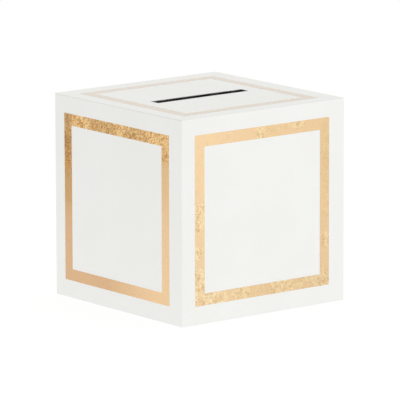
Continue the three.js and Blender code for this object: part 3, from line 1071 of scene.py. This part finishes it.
side_z = path_z([(-edge, 0), (-edge + 8, LAYER), (-30, LAYER)])
for name, s in (("bottom_flap_left", -1), ("bottom_flap_right", 1)):
    pts = [(-edge, -112), (-edge + 9, -112), (-62, -70), (-30, -62), (-30, 62), (-62, 96), (-edge + 9, 112), (-edge, 112)]
    pts = round_corners(pts, [0, 3, 10, 5, 5, 10, 3, 0])
    # the outside face of a bottom flap looks down at the table
    sheet(name, pts, [], (lambda s: lambda a, y, q: (s * -a, y, side_z(a) + BOARD * q))(s), "sleeve", step=6.0, edge=0.08,
          lines=((0, -edge + 2), (0, -edge + 4), (0, -edge + 6), (0, -edge + 8)))

back_z = path_z([(-edge, 0), (-(edge - 11), 2 * LAYER), (20, 2 * LAYER)])
pts = [(124, edge), (-124, edge), (-124, 40), (-100, 14), (-62, 14), (-46, -14), (46, -14), (62, 14), (100, 14), (124, 40)]
pts = round_corners(pts, [0, 0, 8, 12, 6, 6, 6, 6, 12, 8])
sheet("bottom_flap_back", pts, [], lambda x, y, q: (x, y, back_z(-y) + BOARD * q), "sleeve", step=6.0, edge=0.08,
      lines=tuple((1, edge - v) for v in (2.75, 5.5, 8.25, 11)))

TH = 28.0
tongue_z = path_z([(-46, 0), (-43, 0), (-25, 3 * LAYER), (27, 3 * LAYER)])
pts = [
    (-edge + 1, -edge), (edge - 1, -edge), (edge - 4, -115), (114, -114), (112, -30), (96, -8), (TH + 12, -8), (TH + 1.2, -20), (TH + 1.2, -45.0),
    (TH, -45.0), (TH, 12), (TH - 13, 27), (-TH + 13, 27), (-TH, 12), (-TH, -45.0), (-TH - 1.2, -45.0), (-TH - 1.2, -20), (-TH - 12, -8), (-96, -8), (-112, -30), (-114, -114), (-edge + 4, -115),
]
pts = round_corners(pts, [0, 0, 2, 4, 12, 8, 6, 4, 0.55, 0.55, 4, 6, 6, 4, 0.55, 0.55, 4, 6, 8, 12, 4, 2])
sheet("bottom_flap_front", pts, [], lambda x, y, q: (x, y, (tongue_z(y) if abs(x) <= TH + 0.01 and y > -45.0 else 0.0) + BOARD * q), "sleeve", step=6.0, edge=0.08,
      lines=tuple((1, v) for v in (-43, -39, -34, -29, -25)))


# ------------------------------------------------------------- floor and lighting
def floor():
    bpy.ops.mesh.primitive_circle_add(vertices=160, radius=0.78, fill_type="NGON", location=(0, 0, -0.00002))
    f = bpy.context.object
    f.name = "floor"
    m = Nodes("pale_floor")
    m.set(Base_Color=m.mix(m.noise(3, 2), (0.16, 0.16, 0.16), (0.165, 0.165, 0.165)))
    m.bsdf.inputs["Roughness"].default_value = 1.0
    m.bsdf.inputs["Specular IOR Level"].default_value = 0.0
    m.bsdf.inputs["Emission Color"].default_value = (1, 1, 1, 1)
    # the floor glows softly, but not where the box stands on it; the dark square under the box is painted shadow
    x, y, _ = m.xyz()
    far = m.math("MAXIMUM", m.math("ABSOLUTE", x), m.math("ABSOLUTE", y))
    m.set(Emission_Strength=m.ramp(far, HALF * MM - 0.0009, HALF * MM - 0.0004, 0.0, 0.86))
    f.data.materials.append(m.mat)
    f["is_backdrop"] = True


floor()


def world():
    w = bpy.data.worlds.new("studio")
    scene.world = w
    w.use_nodes = True
    t = w.node_tree
    t.nodes.clear()
    out = t.nodes.new("ShaderNodeOutputWorld")
    coord = t.nodes.new("ShaderNodeTexCoord")

    def m(op, *a, clamp=False):
        n = t.nodes.new("ShaderNodeMath")
        n.operation = op
        n.use_clamp = clamp
        for s, v in zip(n.inputs, a):
            if isinstance(v, bpy.types.NodeSocket):
                t.links.new(v, s)
            else:
                s.default_value = v
        return n.outputs[0]

    def lobe(direction, amount, tight):
        """amount times a soft patch of light, or of shade, round a direction"""
        d = Vector(direction).normalized()
        n = t.nodes.new("ShaderNodeVectorMath")
        n.operation = "DOT_PRODUCT"
        t.links.new(coord.outputs["Generated"], n.inputs[0])
        n.inputs[1].default_value = d
        dot = m("MAXIMUM", n.outputs["Value"], 0.0)
        return m("MULTIPLY", m("POWER", dot, tight), amount)

    total = m("ADD", 0.985, 0.0)
    for d, a, k in LOBES:
        total = m("ADD", total, lobe(d, a, k))
    studio = t.nodes.new("ShaderNodeBackground")
    studio.inputs["Color"].default_value = (1.0, 0.998, 0.99, 1)
    t.links.new(m("MAXIMUM", total, 0.02), studio.inputs["Strength"])
    plain = t.nodes.new("ShaderNodeBackground")
    plain.inputs["Color"].default_value = (1, 1, 1, 1)
    path = t.nodes.new("ShaderNodeLightPath")
    mix = t.nodes.new("ShaderNodeMixShader")
    t.links.new(path.outputs["Is Camera Ray"], mix.inputs[0])
    t.links.new(studio.outputs[0], mix.inputs[1])
    t.links.new(plain.outputs[0], mix.inputs[2])
    t.links.new(mix.outputs[0], out.inputs["Surface"])


LOBES = [
    ((-0.60, 0.77, -0.15), -0.18, 4),
    ((-1.0, 0.0, 0.35), -0.09, 2),
    ((0.0, 0.0, 1.0), -0.07, 2),
    ((0.61, 0.77, 0.19), -0.11, 14),
    ((0.70, -0.70, 0.1), 0.12, 2),
]
world()

lo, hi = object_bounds()
